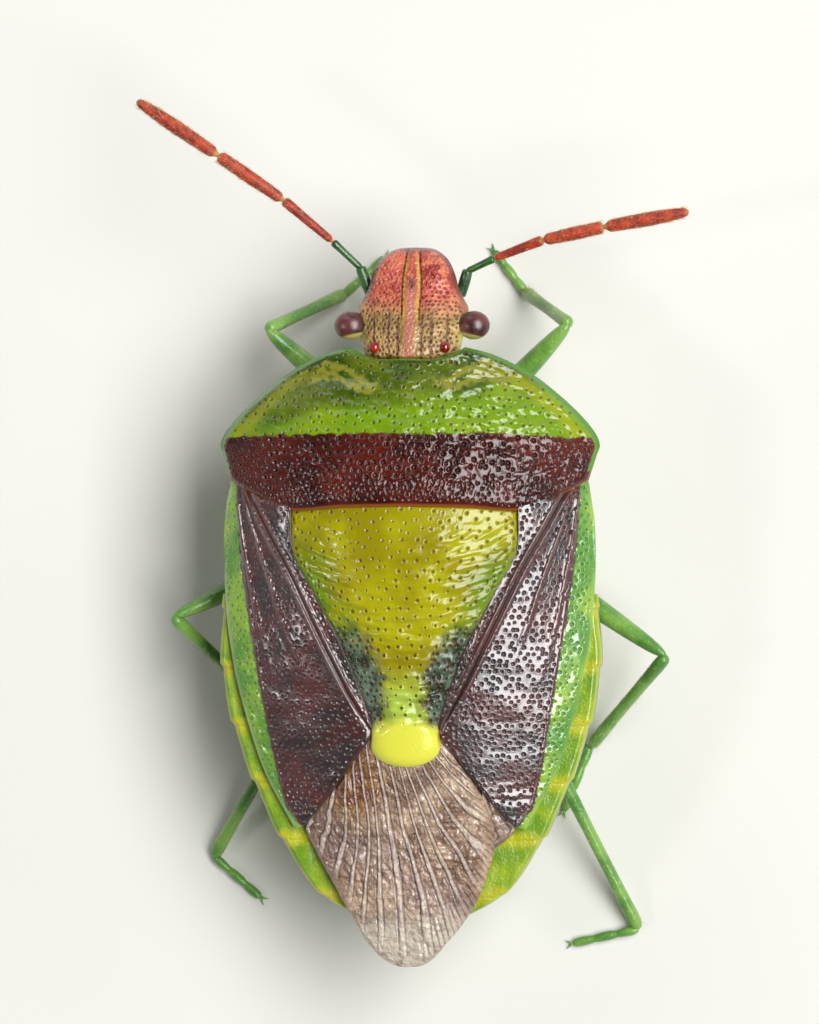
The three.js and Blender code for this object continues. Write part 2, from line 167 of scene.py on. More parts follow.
def plate(columns, rows, place, surface, walls):
    """A closed plate: a grid bent into place, walls that step inwards and down, and a floor.
    place turns (u, v) from 0 to 1 into x and y; surface gives z and the plate's colour masks."""
    bm = bmesh.new()
    bmesh.ops.create_grid(bm, x_segments=columns - 1, y_segments=rows - 1, size=0.5)
    at = np.array([v.co[:2] for v in bm.verts]) + 0.5
    order = np.lexsort((at[:, 0].round(6), at[:, 1].round(6)))
    u, v = at[order].T
    x, y = place(u, v)
    z, masks = surface(x, y, u, v, border(x, y, u, v, columns, rows))
    layers = [bm.verts.layers.float.new(name) for name in masks]
    bm.verts.ensure_lookup_table()
    values = np.column_stack([x, y, z, *masks.values()]).astype(float).tolist()
    for k, row in zip(order.tolist(), values):
        vert = bm.verts[k]
        vert.co = row[:3]
        for layer, value in zip(layers, row[3:]):
            vert[layer] = value
    middle = Vector((x.mean(), y.mean()))
    edge = [e for e in bm.edges if e.is_boundary]
    for inward, down in walls:
        made = bmesh.ops.extrude_edge_only(bm, edges=edge)["geom"]
        for vert in (g for g in made if isinstance(g, bmesh.types.BMVert)):
            vert.co.xy = vert.co.xy.lerp(middle, inward)
            vert.co.z -= down
        edge = [g for g in made if isinstance(g, bmesh.types.BMEdge)]
    bmesh.ops.holes_fill(bm, edges=edge)
    bmesh.ops.recalc_face_normals(bm, faces=bm.faces)
    return bm


def tint(code):
    """A colour given as six hexadecimal digits, for a shader."""
    parts = [int(code[k:k + 2], 16) / 255 for k in (0, 2, 4)]
    linear = [c / 12.92 if c < 0.04045 else ((c + 0.055) / 1.055) ** 2.4 for c in parts]
    return (*linear, 1)


class Finish:
    """A cuticle material: its shader's own sockets hold the constants, nodes make the colour."""

    def __init__(self, name, **constants):
        self.material = bpy.data.materials.new(name)
        self.material.use_nodes = True
        self.nodes, self.links = self.material.node_tree.nodes, self.material.node_tree.links
        self.shader = self.nodes["Principled BSDF"]
        for socket, value in constants.items():
            self.shader.inputs[socket.replace("_", " ")].default_value = value
        self.where = self.nodes.new("ShaderNodeTexCoord").outputs["Object"]

    def put(self, node, socket, value):
        if isinstance(value, bpy.types.NodeSocket):
            self.links.new(value, node.inputs[socket])
        else:
            node.inputs[socket].default_value = value

    def mask(self, name):
        node = self.nodes.new("ShaderNodeAttribute")
        node.attribute_name = name
        return node.outputs["Fac"]

    def grain(self, per_mm, detail=3.0, low=0.4, high=0.6):
        """Noise that runs from 0 to 1 between its low and high values."""
        turn = self.nodes.new("ShaderNodeMapping")
        turn.inputs["Scale"].default_value = [per_mm / MM] * 3
        self.links.new(self.where, turn.inputs["Vector"])
        node = self.nodes.new("ShaderNodeTexNoise")
        node.inputs["Scale"].default_value = 1
        node.inputs["Detail"].default_value = detail
        self.links.new(turn.outputs["Vector"], node.inputs["Vector"])
        span = self.nodes.new("ShaderNodeMapRange")
        span.inputs["From Min"].default_value = low
        span.inputs["From Max"].default_value = high
        self.links.new(node.outputs["Fac"], span.inputs["Value"])
        return span.outputs["Result"]

    def cells(self, per_mm):
        """Distance to the middle of each small cell, from 0 to about 1."""
        node = self.nodes.new("ShaderNodeTexVoronoi")
        node.inputs["Scale"].default_value = per_mm / MM
        self.links.new(self.where, node.inputs["Vector"])
        return node.outputs["Distance"]

    def blend(self, share, a, b):
        """Colour a with its share of colour b laid over it."""
        node = self.nodes.new("ShaderNodeMix")
        node.data_type = "RGBA"
        for socket, value in ((0, share), (6, a), (7, b)):
            self.put(node, socket, tint(value) if isinstance(value, str) else value)
        return node.outputs[2]

    def colour(self, socket):
        self.links.new(socket, self.shader.inputs["Base Color"])

    def bump(self, socket, height_mm, strength=1.0):
        node = self.nodes.new("ShaderNodeBump")
        node.inputs["Strength"].default_value = strength
        node.inputs["Distance"].default_value = height_mm * MM
        self.links.new(socket, node.inputs["Height"])
        self.links.new(node.outputs["Normal"], self.shader.inputs["Normal"])


def settle(bm, name, finish, slot, *cad_nodes):
    """Turns a bmesh in millimetres into a finished piece that stands for its nodes of the frame."""
    bmesh.ops.scale(bm, vec=(MM, MM, MM), verts=bm.verts)
    bmesh.ops.translate(bm, vec=SHIFT, verts=bm.verts)
    mesh = bpy.data.meshes.new(name)
    bm.to_mesh(mesh)
    bm.free()
    mesh.shade_smooth()
    mesh.materials.append(finish.material)
    piece = bpy.data.objects.new(name, mesh)
    bpy.context.scene.collection.objects.link(piece)
    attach(piece, "root")
    if cad_nodes:
        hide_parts(*cad_nodes)
    return piece


SHOULDER_START, SHOULDER_END = 1.68, 3.9
SHOULDER_LINE = spline((0.98, SHOULDER_START), (1.5, 1.83), (2.1, 2.15), (2.66, 2.6), (3.04, 3.0),
                       (3.19, 3.28), (3.14, 3.5), (3.02, SHOULDER_END))
pronotum_front = along((0, 1.87), (0.5, 1.87), (0.85, 1.76), (1, SHOULDER_START))
pronotum_rear = along((0, 4.34), (0.35, 4.36), (0.66, 4.4), (0.85, 4.16), (1, 3.9))
REAR_MARGIN = 3.75
BAND_START = 3.12
BOLD_PITS, SMALL_PITS, WIDE_PITS = (0.148, 0.043), (0.105, 0.029), (0.165, 0.03)
PIT_DEPTH = 0.045
COLLAR_HEIGHT = 0.008
FOLD_HEIGHT, WRINKLE_HEIGHT, CREASE_HEIGHT, SWELL_HEIGHT = 0.04, 0.018, 0.012, 0.03
EDGE_DROP, EDGE_FOLD = 0.1, 0.022
CALLUS = ((0.98, 2.2), (0.62, 0.15))
ARC_X, ARC_Y, ARC_STRETCH, ARC_RADIUS = 1.1, 2.2, 3.8, 0.11
BEAD_GAP, BEAD_HEIGHT = 0.085, 0.022
PRONOTUM_WALLS = ((0.004, 0.04), (0.03, 0.09), (0.11, 0.14))


def on_pronotum(u, v):
    across = 2 * u - 1
    edge_x, edge_y = SHOULDER_LINE(v)
    share = (edge_y - SHOULDER_START) / (SHOULDER_END - SHOULDER_START)
    reach = np.abs(across)
    return across * edge_x, mix(pronotum_front(reach), pronotum_rear(reach), share)


def pronotum_surface(x, y, u, v, inside):
    rough_edge = ripple(x, y, 7, 7, 3) * 0.05 + ripple(x, y, 1.4, 1.4, 4) * 0.04
    line = BAND_START + 0.08 * fade(-x, 1.0, 3.0) + 0.04 * fade(x, 1.0, 3.0)
    band = fade(y + rough_edge, line - 0.02, line + 0.02)
    band *= np.clip(fade(inside + 0.2 * rough_edge, 0.06, 0.09) + (y > REAR_MARGIN), 0, 1)
    bold, bold_collar = pits(x, y, *BOLD_PITS, 11)
    small, small_collar = pits(x, y, *SMALL_PITS, 13)
    shrink = np.clip(fade(y, 3.8, 4.1) + fade(np.abs(x), 2.2, 2.7), 0, 1)
    fine, fine_collar = mix(bold, small, shrink), mix(bold_collar, small_collar, shrink)
    wide, wide_collar = pits(x, y, *WIDE_PITS, 12)
    clear = fade(inside, 0.05, 0.1)
    near_collar = fade(y, 2.35, 2.15)
    callus = np.exp(-oval(np.abs(x), y, *CALLUS) ** 2)
    pit = mix(wide, fine, band) * clear * (1 - 0.95 * callus)
    ring = mix(wide_collar, fine_collar, band) * clear
    folds = ripple(x - 0.5 * y, y, 3, 6.5, 5) * FOLD_HEIGHT
    folds += ripple(x + 0.5 * y, y, 7, 13, 6) * WRINKLE_HEIGHT
    folds += ripple(x, y, 9, 12, 14) * CREASE_HEIGHT
    folds *= mix(1.15, 0.5, fade(x, -0.8, 0.8)) - 0.2 * band - 0.35 * near_collar
    folds += ripple(x, y, 1.1, 2.0, 8) * SWELL_HEIGHT
    z = back(x, y) - 0.1 * (np.abs(x) / 3.2) ** 6 + folds * fade(inside, 0, 0.3)
    z += EDGE_FOLD * hump(inside, 0.12, 0.07) * (y < 3.3)
    z -= EDGE_DROP * (1 - fade(inside, -0.08, 0.12)) + 0.012 * callus
    z += (COLLAR_HEIGHT * ring - PIT_DEPTH * pit) * mix(0.75, 1, band)
    beads = hump(inside, 0.1, 0.02) * np.clip(np.cos(x * math.tau / BEAD_GAP), 0, 1)
    z += BEAD_HEIGHT * beads * fade(y, 2.15, 2.0)
    ragged = 0.1 * ripple(x, y, 4, 4, 7) + 0.05 * ripple(x, y, 10, 10, 10)
    ring_away = np.hypot((np.abs(x) - ARC_X) / ARC_STRETCH, y - ARC_Y + 0.12 * np.cos(5 * x))
    curl = np.abs(ring_away - ARC_RADIUS + ragged)
    mark = fade(curl, 0.085, 0.02) * fade(np.abs(x), 0.35, 0.55) * fade(np.abs(x), 1.9, 1.7)
    # Lighter yellow-green towards the maroon band, which is the cuticle's own gradient; the -0.12 * x
    # term adds painted shade, darker on the left away from the key lamp and lighter on the lit right.
    flush = fade(y + 0.3 * ripple(x, y, 1.5, 3, 9) - 0.12 * x, 2.3, 2.85)
    lip = fade(inside, 0.045, 0.02) * (y > REAR_MARGIN)
    sunny = fade(inside, 0.42, 0.25) * fade(inside, 0.08, 0.2) * fade(y, 1.9, 2.2)
    return z, {"pit": pit, "band": band, "callus": mark, "sunny": sunny, "lip": lip, "flush": flush,
               "edge": fade(inside, 0.1, 0.04) * (1 - band)}


shell = plate(460, 176, on_pronotum, pronotum_surface, PRONOTUM_WALLS)
green_maroon = Finish("pronotum_cuticle", Roughness=0.2, Specular_IOR_Level=0.4,
                      Coat_Weight=0.42, Coat_Roughness=0.08)
# Painted shade: this mask also darkens the green on the left of the pronotum, away from the key lamp;
# its rise towards the band is the cuticle's own colour.
leaf = green_maroon.blend(green_maroon.mask("flush"), "2c4602", "6c8f08")
leaf = green_maroon.blend(green_maroon.grain(1.3), leaf, green_maroon.blend(0.2, leaf, "a8b41c"))
leaf = green_maroon.blend(green_maroon.mask("sunny"), leaf, green_maroon.blend(0.4, leaf, "a8a418"))
leaf = green_maroon.blend(green_maroon.mask("callus"), leaf, "808226")
leaf = green_maroon.blend(green_maroon.mask("edge"), leaf, "458010")
leaf = green_maroon.blend(green_maroon.mask("pit"), leaf, "4a2c08")
maroon = green_maroon.blend(green_maroon.grain(1.6), "340b06", "541a10")
maroon = green_maroon.blend(green_maroon.mask("pit"), maroon, "0c0202")
maroon = green_maroon.blend(green_maroon.mask("lip"), maroon, "8a4a18")
green_maroon.colour(green_maroon.blend(green_maroon.mask("band"), leaf, maroon))
green_maroon.bump(green_maroon.grain(22, 4), 0.005, 0.4)
settle(shell, "pronotum_plate", green_maroon, "pronotum", "pronotum")

# Scutellum: the triangular shield between the wings, olive cuticle with cross wrinkles and red pits.
# It narrows to a smooth raised yellow knob, and its edges dip to the wings on both sides.
SHIELD_TIP = 8.68
KNOB_START = 8.33
CLOSE_PITS, SPARSE_PITS = (0.118, 0.036), (0.19, 0.031)
SHIELD_PIT_DEPTH, SHIELD_COLLAR_HEIGHT = 0.04, 0.007
SHIELD_DOME, SHIELD_EDGE_DROP, FRONT_TUCK, SIDE_DIP = 0.06, 0.09, 0.14, 0.05
CROSS_WAVE, CROSS_WRINKLE = 0.05, 0.026
CALM_PATCH = ((0.5, 5.2), (0.9, 0.9))
KNOB_RISE, KNOB_ROUNDING = 0.06, 0.1
SHIELD_WALLS = ((0.0, 0.08), (0.004, 0.14), (0.03, 0.2))
shield_half = along((4.4, 1.95), (5.1, 1.9), (5.8, 1.53), (6.67, 1.09), (7.4, 0.79), (8.08, 0.58),
                    (KNOB_START, 0.58))


def on_shield(u, v):
    front = pronotum_rear(np.abs(2 * u - 1) * 0.62) - 0.1
    y = mix(front, SHIELD_TIP, 1 - (1 - v) ** 1.5)
    round_end = np.sqrt(np.clip(1 - ((y - KNOB_START) / (SHIELD_TIP - KNOB_START)) ** 2, 0, 1))
    half = shield_half(y) * np.where(y > KNOB_START, round_end, 1)
    return (2 * u - 1) * np.maximum(half, 0.02), y


def shield_surface(x, y, u, v, inside):
    across = np.abs(x) / np.maximum(shield_half(y), 0.1)
    knob = fade(y + 0.08 * ripple(x, y, 5, 5, 9) - 0.16 * across**3, 7.8, 8.08)
    blotch = 0.2 * ripple(x, y, 3, 3, 25) + 0.12 * ripple(x, y, 8, 8, 26)
    sides = fade(across + blotch, 0.26, 0.66) * fade(y + 0.8 * across + blotch, 6.7, 7.4)
    sides *= 1 - knob
    fine, fine_collar = pits(x, y, *CLOSE_PITS, 21)
    wide, wide_collar = pits(x, y, *SPARSE_PITS, 22)
    dense = fade(np.clip(sides + fade(across, 0.84, 0.95) * 0.7, 0, 1), 0.4, 0.6)
    clear = fade(inside, 0.03, 0.1)
    pit = mix(wide, fine, dense) * clear * (1 - knob)
    ring = mix(wide_collar, fine_collar, dense) * clear
    calm = 1 - 0.8 * np.exp(-oval(x, y, *CALM_PATCH))
    bend = 0.12 * x**2
    waves = ripple(x, y + bend, 2.0, 6.5, 23) * CROSS_WAVE
    waves += ripple(x, y + bend, 4.2, 13, 24) * CROSS_WRINKLE
    waves *= fade(y, 4.3, 4.9) * (1 - knob) * calm * fade(inside, 0.0, 0.25)
    z = back(x, y) + SHIELD_DOME * (1 - across**2) + waves
    z -= SHIELD_PIT_DEPTH * pit * mix(calm, 1, 0.4)
    z += SHIELD_COLLAR_HEIGHT * ring * (1 - knob)
    z += KNOB_RISE * knob - SIDE_DIP * sides
    z -= (SHIELD_EDGE_DROP * (1 - fade(inside, -0.08, 0.12)) * (1 - knob)
          + FRONT_TUCK * fade(y, 5.2, 4.25))
    round_off = (x / 0.6) ** 2 + (np.maximum(0, y - KNOB_START) / (SHIELD_TIP - KNOB_START)) ** 2
    z -= KNOB_ROUNDING * knob * np.clip(round_off, 0, 1) ** 3
    green = fade(across + blotch, 0.5, 1.0) * fade(y, 4.6, 5.6) * (1 - knob)
    pale = fade(y + blotch, 6.9, 7.7) * (1 - sides)
    return z, {"pit": pit, "knob": knob, "sides": sides, "green": green, "pale": pale,
               "rim": fade(inside, 0.04, 0.015) * fade(y, 8.5, 8.0)}


shell = plate(240, 300, on_shield, shield_surface, SHIELD_WALLS)
olive = Finish("scutellum_cuticle", Roughness=0.2, Specular_IOR_Level=0.35,
               Coat_Weight=0.35, Coat_Roughness=0.1)
shield = olive.blend(olive.grain(1.1), "8a8005", "a29e0c")
shield = olive.blend(olive.mask("green"), shield, "628212")
shield = olive.blend(olive.mask("pale"), shield, "a2b844")
shield = olive.blend(olive.mask("sides"), shield, olive.blend(olive.grain(4), "2a3424", "586a58"))
shield = olive.blend(olive.mask("knob"), shield, "d6d448")
shield = olive.blend(olive.mask("rim"), shield, "7a4a14")
olive.colour(olive.blend(olive.mask("pit"), shield, "4a1c06"))
olive.bump(olive.grain(22, 4), 0.004, 0.3)
settle(shell, "scutellum_shield", olive, "scutellum", "scutellum")

# Forewings: leathery plates of maroon cuticle, crowded with black pits and crossed by red veins.
# The clavus lies along the shield and the corium outside it, with a green strip along its rim.
SUTURE = ((2.86, 3.7), (2.42, 4.57), (1.96, 5.4), (1.55, 6.24), (1.04, 7.27), (0.78, 7.74))
WING_CORNER = (0.58, 8.14)
suture = along(*((y, x) for x, y in (*SUTURE, WING_CORNER)))
corium_inner = spline(*SUTURE, WING_CORNER, (0.94, 8.66), (1.38, 9.25), (1.76, 9.68))
corium_outer = spline((2.98, 3.72), (3.12, 4.7), (3.1, 5.9), (3.0, 6.75), (2.82, 7.6),
                      (2.46, 8.75), (1.94, 9.74))
strip_line = along((4.07, 2.9), (5.1, 2.83), (6.25, 2.67), (7.4, 2.48), (8.2, 2.34), (8.9, 2.2),
                   (9.37, 2.07), (9.7, 1.83))
CLAVUS_TIP = 8.06
WING_PITS = (0.116, 0.033)
LEFT_PIT_DEPTH, RIGHT_PIT_DEPTH = 0.015, 0.036
WING_VEINS = ((0.28, 0.25), (0.55, 0.35))
VEIN_RISE = 0.03
CORIUM_EDGE_DROP, CLAVUS_EDGE_DROP = 0.05, 0.015
WING_TUCK, SHIELD_SLOPE = 0.14, 0.03
WING_WALLS = ((0.002, 0.05), (0.01, 0.15), (0.03, 0.15))


def on_clavus(u, v):
    y = mix(4.3 - 0.5 * u, CLAVUS_TIP, v)
    return mix(shield_half(y) - 0.04, suture(y) - 0.01, u), y


def on_corium(u, v):
    inner_x, inner_y = corium_inner(v)
    outer_x, outer_y = corium_outer(v)
    return mix(inner_x, outer_x, u), mix(inner_y, outer_y, u)


def wing_surface(seed, veins):
    """The clavus has no veins; the corium, which lies outside it, has them and the green strip."""
    outer = len(veins) > 0

    def surface(x, y, u, v, inside):
        depth = RIGHT_PIT_DEPTH if x.mean() < 0 else LEFT_PIT_DEPTH
        depth = depth * (1 + 0.6 * ripple(x, y, 1.6, 1.6, seed + 7))
        x = np.abs(x)
        ragged = ripple(x, y, 7, 7, seed) * 0.025
        strip = fade(x - strip_line(y) + ragged, -0.015, 0.015) * outer
        pit, ring = pits(x, y, *WING_PITS, seed)
        clear = fade(inside, 0.02, 0.06)
        ridge = sum((hump((u - at - bend * v * (1 - v)) * 2.2, 0, 0.07) for at, bend in veins),
                    np.zeros_like(u))
        ridge = ridge * fade(v, 0.0, 0.06) * fade(v, 0.62, 0.3) * (1 - strip)
        seam = hump(x - suture(y), 0.07 * (2 * outer - 1), 0.035) * fade(y, 7.9, 7.4)
        border_ridge = hump(x - strip_line(y), -0.05, 0.03) * outer
        ridge = np.clip(ridge + seam + 0.45 * border_ridge, 0, 1)
        smooth = fade(x - strip_line(y), 0.36, 0.3) if outer else 1
        pit, ring = pit * clear * (1 - 0.7 * ridge) * smooth, ring * clear * smooth
        waves = ripple(x, y, 1.5, 2.5, seed + 1) * 0.02 + ripple(x, y, 6, 6, seed + 2) * 0.006
        waves += ripple(x - 0.6 * y, y, 2.5, 11, seed + 5) * 0.014 * fade(y, 8.7, 9.4)
        waves += ripple(x, y, 6, 8, seed + 6) * 0.02 * strip
        z = back(x, y) + waves * fade(inside, 0, 0.2) + VEIN_RISE * ridge
        edge_drop = CORIUM_EDGE_DROP if outer else CLAVUS_EDGE_DROP
        z -= depth * pit - 0.003 * ring + edge_drop * (1 - fade(inside, -0.06, 0.08))
        z -= (WING_TUCK * fade(y, 4.35, 3.95)
              + SHIELD_SLOPE * fade(x - shield_half(y), 0.22, 0.0) * fade(y, 8.4, 8.0))
        return z, {"pit": pit, "strip": strip, "vein": ridge}
    return surface


wing_maroon = Finish("forewing_cuticle", Roughness=0.38, Specular_IOR_Level=0.8,
                     Coat_Weight=1.0, Coat_Roughness=0.2, Coat_IOR=1.7)
wing = wing_maroon.blend(wing_maroon.grain(1.6), "220403", "4a0d06")
wing = wing_maroon.blend(wing_maroon.mask("vein"), wing, "4e150a")
wing = wing_maroon.blend(wing_maroon.mask("pit"), wing, "080202")
strip = wing_maroon.blend(wing_maroon.grain(1.3), "4c8a10", "86ac22")
strip = wing_maroon.blend(wing_maroon.mask("pit"), strip, "3c6a0c")
wing_maroon.colour(wing_maroon.blend(wing_maroon.mask("strip"), wing, strip))
wing_maroon.bump(wing_maroon.grain(24, 4), 0.005, 0.4)

SIDES = {"left": 1, "right": -1}
for number, (name, side) in enumerate(SIDES.items()):
    def mirrored(place, side=side):
        def at(u, v):
            x, y = place(u, v)
            return side * x, y
        return at
    seed = 31 + 10 * number
    shell = plate(72, 240, mirrored(on_clavus), wing_surface(seed, ()), WING_WALLS)
    settle(shell, f"clavus_{name}_plate", wing_maroon, "forewing", f"clavus_{name}")
    shell = plate(140, 440, mirrored(on_corium), wing_surface(seed + 3, WING_VEINS), WING_WALLS)
    settle(shell, f"corium_{name}_plate", wing_maroon, "forewing", f"corium_{name}")

# Wing membranes: the soft smoky tips of the forewings, the left lying over the right.
# Veins run from the shield's tip to the free edge as ridges with furrows between: pale on the ridges,
# partly their own colour and partly painted highlight, and painted shade in the furrows.
membrane_root = spline((1.74, 9.62), (1.3, 9.1), (0.9, 8.52), (0.56, 8.1), (0.0, 8.25), (-0.5, 8.1))
membrane_edge = spline((1.75, 9.78), (1.54, 10.2), (1.25, 10.72), (0.95, 11.25), (0.62, 11.75),
                       (0.22, 12.02), (-0.2, 11.97), (-0.7, 11.55), (-1.12, 10.95), (-1.38, 10.25),
                       (-1.43, 9.75), (-1.25, 9.2), (-0.8, 8.5))
VEINS = 15
VEIN_HEIGHT, FURROW_DEPTH = 0.04, 0.014
MEMBRANE_SUNK, UNDER_STEP, ROOT_TUCK = 0.07, 0.12, 0.05
FRINGES, FRINGE_HEIGHT = 64, 0.016
MEMBRANE_WALLS = ((0.002, 0.02), (0.01, 0.04))


def on_membrane(u, v):
    root_x, root_y = membrane_root((1 - u) ** 0.5)
    edge_x, edge_y = membrane_edge(1 - u)
    swing = 0.14 * np.sin(np.pi * v) * np.sin(2 * np.pi * u)
    return mix(root_x, edge_x, v) + swing, mix(root_y, edge_y, v)


def membrane_surface(side, drop):
    def surface(x, y, u, v, inside):
        ordinal = u + 0.02 * ripple(u, v, 9, 2.5, 51) + 0.008 * ripple(u, v, 30, 6, 55)
        wave = np.cos(2 * np.pi * VEINS * ordinal)
        ends = fade(v, 1.0, 0.82) * fade(v, 0.0, 0.05)
        # The ridge marks each vein, which the material paints pale, partly the vein's own colour and
        # partly a painted highlight; the furrow marks the groove on each flank, painted dark as
        # painted shade.
        ridge = fade(wave, 0.55, 1.0) * ends
        furrow = fade(wave, 0.2, 0.5) * fade(wave, 0.8, 0.5) * ends
        crinkle = ripple(x, y, 4, 15, 52) * 0.03 * fade(side * x, 0.6, -0.7) * fade(y, 8.9, 9.4)
        creases = np.abs(ripple(x + 0.3 * y, y, 5, 4, 57)) * 0.06
        creases += np.abs(ripple(x, y, 11, 8, 59)) * 0.035
        crinkle += creases * fade(y + 0.6 * ripple(x, y, 1.3, 1.3, 54), 11.3, 10.6)
        ridge *= 0.75 + 0.5 * ripple(u, v, 12, 3, 58)
        waves = ripple(x, y, 1.2, 1.2, 53) * 0.04 + ripple(x, y, 5, 5, 56) * 0.008
        z = back(x, y) - MEMBRANE_SUNK - drop + VEIN_HEIGHT * ridge - FURROW_DEPTH * furrow
        z += (waves + crinkle) * fade(inside, 0, 0.3) - 0.03 * fade(inside, 0.08, 0.0)
        z -= ROOT_TUCK * fade(v, 0.08, 0.02)
        patch = 0.35 * ripple(x, y, 1.3, 1.3, 54)
        fringe = np.cos(math.tau * FRINGES * u) * fade(v, 0.84, 0.95) * fade(u, 0.6, 0.5)
        z += FRINGE_HEIGHT * fringe
        return z, {"ridge": ridge, "furrow": furrow, "tip": fade(y + patch, 10.8, 11.5),
                   "root": fade(np.hypot(x - 0.8 * side, y - 8.9) + patch, 0.8, 0.35),
                   # Painted shade: darker brown toward each membrane's outer side, which on the left
                   # membrane is the side away from the key lamp.
                   "dim": fade(side * x + patch, 0.5, 1.3) * fade(y, 11.2, 10.4),
                   "blush": hump(y - 10.6 + 0.5 * side * x + 1.4 * patch, 0, 0.4)}
    return surface


smoky = Finish("wing_membrane", Roughness=0.26, Specular_IOR_Level=0.9, Coat_Weight=0.7,
               Coat_Roughness=0.12)
film = smoky.blend(smoky.grain(2.2), "7c5c44", "b89c80")
# Painted shade: the membrane is darkened toward its outer side, the shaded left of the animal.
film = smoky.blend(smoky.mask("dim"), film, smoky.blend(0.6, film, "74552e"))
film = smoky.blend(smoky.mask("blush"), film, smoky.blend(0.5, film, "8a6e6c"))
film = smoky.blend(smoky.mask("tip"), film, "beb09e")
film = smoky.blend(smoky.mask("root"), film, smoky.blend(smoky.grain(4), "6a340e", "8a5c1c"))
film = smoky.blend(smoky.grain(7, low=0.5, high=0.7), film, smoky.blend(0.5, film, "42200e"))
# Painted shade: the furrows beside the veins are darkened.
film = smoky.blend(smoky.mask("furrow"), film, smoky.blend(0.85, film, "34120a"))
# Pale on the vein ridges: partly the veins' own colour, partly a painted highlight.
smoky.colour(smoky.blend(smoky.mask("ridge"), film, smoky.blend(0.6, film, "e8d8cc")))
smoky.bump(smoky.grain(14, 5), 0.02, 0.9)
for name, side in SIDES.items():
    def mirrored(u, v, side=side):
        x, y = on_membrane(u, v)
        tuck = 1 if side > 0 else 1 - 0.16 * fade(y, 9.75, 10.2)
        return side * x * tuck, y
    drop = 0 if side > 0 else UNDER_STEP
    shell = plate(400, 220, mirrored, membrane_surface(side, drop), MEMBRANE_WALLS)
    settle(shell, f"membrane_{name}_film", smoky, "membrane", f"membrane_{name}")

# Head: a sloping orange-red wedge, cream at its base, with two side lobes and a narrow middle lobe.
# Fine grooves part the lobes, brown pits cover the rear, and the underside closes it below.
HEAD_BASE = 2.0
HEAD_SHIFT = -0.04
HEAD_PITS = (0.088, 0.03)
HEAD_PIT_DEPTH = 0.022
GROOVE_DEPTH, TRACK_DEPTH = 0.04, 0.018
LOBE_RISE, TONGUE_RISE = 0.06, 0.035
HEAD_EDGE_DROP, NECK_TUCK = 0.16, 0.15
SIDE_LOBE = ((0.42, 0.35), (0.2, 0.4))
DARK_SPOT = ((0, 0.62), (0.06, 0.1))
HEAD_WALLS = ((0.02, 0.08), (0.06, 0.16), (0.14, 0.22), (0.2, 0.14))
head_half = along((0, 0.22), (0.03, 0.34), (0.1, 0.46), (0.2, 0.57), (0.4, 0.68), (0.7, 0.77),
                  (0.88, 0.86), (1.02, 0.93), (1.2, 0.92), (1.4, 0.88), (1.65, 0.84), (1.8, 0.78),
                  (2.0, 0.74))
head_top = along((0, 2.55), (0.2, 2.73), (0.8, 2.98), (1.4, 3.24), (1.8, 3.34), (2.0, 3.3))
groove_line = along((0, 0.1), (0.3, 0.13), (0.6, 0.16), (1.2, 0.15), (2.0, 0.2))


def on_head(u, v):
    y = mix(0, HEAD_BASE, v**1.15)
    return (2 * u - 1) * head_half(y) + HEAD_SHIFT, y


def head_surface(x, y, u, v, inside):
    x = x - HEAD_SHIFT
    across = np.abs(x) / head_half(y)
    off = np.abs(x) - groove_line(y)
    groove = hump(off, 0, 0.012) * fade(y, 1.35, 1.1)
    gilt = hump(off, -0.03, 0.03) * fade(y, 1.4, 1.1) * fade(y, 0.05, 0.3)
    lobes = LOBE_RISE * np.exp(-oval(np.abs(x), y, *SIDE_LOBE))
    tongue = TONGUE_RISE * fade(off, 0.0, -0.08) * fade(y, 1.3, 0.9)
    bent = np.abs(x) + 0.02 * ripple(x, y, 3, 6, 64)
    tracks = sum(hump(bent, at, 0.022) for at in (0.2, 0.36, 0.62)) * fade(y, 1.0, 1.25)
    pit, ring = pits(x, y, *HEAD_PITS, 61)
    pit = pit * fade(inside, 0.03, 0.08) * (1 - 0.8 * fade(off, 0.0, -0.05))
    z = head_top(y) - 0.3 * across**2 * np.clip(y, 0.35, 1) + lobes + tongue
    z -= GROOVE_DEPTH * groove + HEAD_PIT_DEPTH * pit - 0.006 * ring + TRACK_DEPTH * tracks
    z += ripple(x, y, 4, 3, 62) * 0.014 + ripple(x, y, 9, 9, 65) * 0.008
    z -= HEAD_EDGE_DROP * (1 - fade(inside, -0.1, 0.13)) + NECK_TUCK * fade(y, 1.8, 2.0)
    cream = fade(y + 0.12 * ripple(x, y, 3, 3, 63), 0.8, 1.25)
    keel = hump(x, 0, 0.075) * fade(y, 0.45, 0.6)
    return z, {"pit": pit * mix(0.35, 1, fade(y, 0.4, 1.0)), "groove": groove, "cream": cream,
               "track": np.clip(tracks, 0, 1) * 0.8, "gilt": gilt, "keel": keel,
               "dark": np.exp(-oval(x, y, *DARK_SPOT)),
               "rind": fade(inside, 0.12, 0.03) * fade(y, 1.2, 0.7),
               "pale": fade(np.abs(x), 0.72, 0.84) * fade(y, 1.1, 1.25)}


shell = plate(210, 210, on_head, head_surface, HEAD_WALLS)
ember = Finish("head_cuticle", Roughness=0.26, Specular_IOR_Level=0.7, Coat_Weight=0.5,
               Coat_Roughness=0.12)
face = ember.blend(ember.grain(2.4), "9a2616", "cc5c42")
face = ember.blend(ember.grain(5, low=0.5, high=0.62), face, "d2704e")
cream = ember.blend(ember.grain(3.0), "8a682a", "c09a5c")
face = ember.blend(ember.mask("cream"), face, cream)
face = ember.blend(ember.mask("keel"), face, "b86a58")
face = ember.blend(ember.mask("gilt"), face, "c49a3c")
face = ember.blend(ember.mask("dark"), face, "5a140e")
face = ember.blend(ember.mask("rind"), face, "6e1a10")
face = ember.blend(ember.mask("pale"), face, "b8ad62")
face = ember.blend(ember.mask("track"), face, "4a1e10")
face = ember.blend(ember.mask("groove"), face, "6a3414")
ember.colour(ember.blend(ember.mask("pit"), face, "421208"))
ember.bump(ember.grain(24, 4), 0.008, 0.6)
settle(shell, "head_capsule", ember, "head", "head")

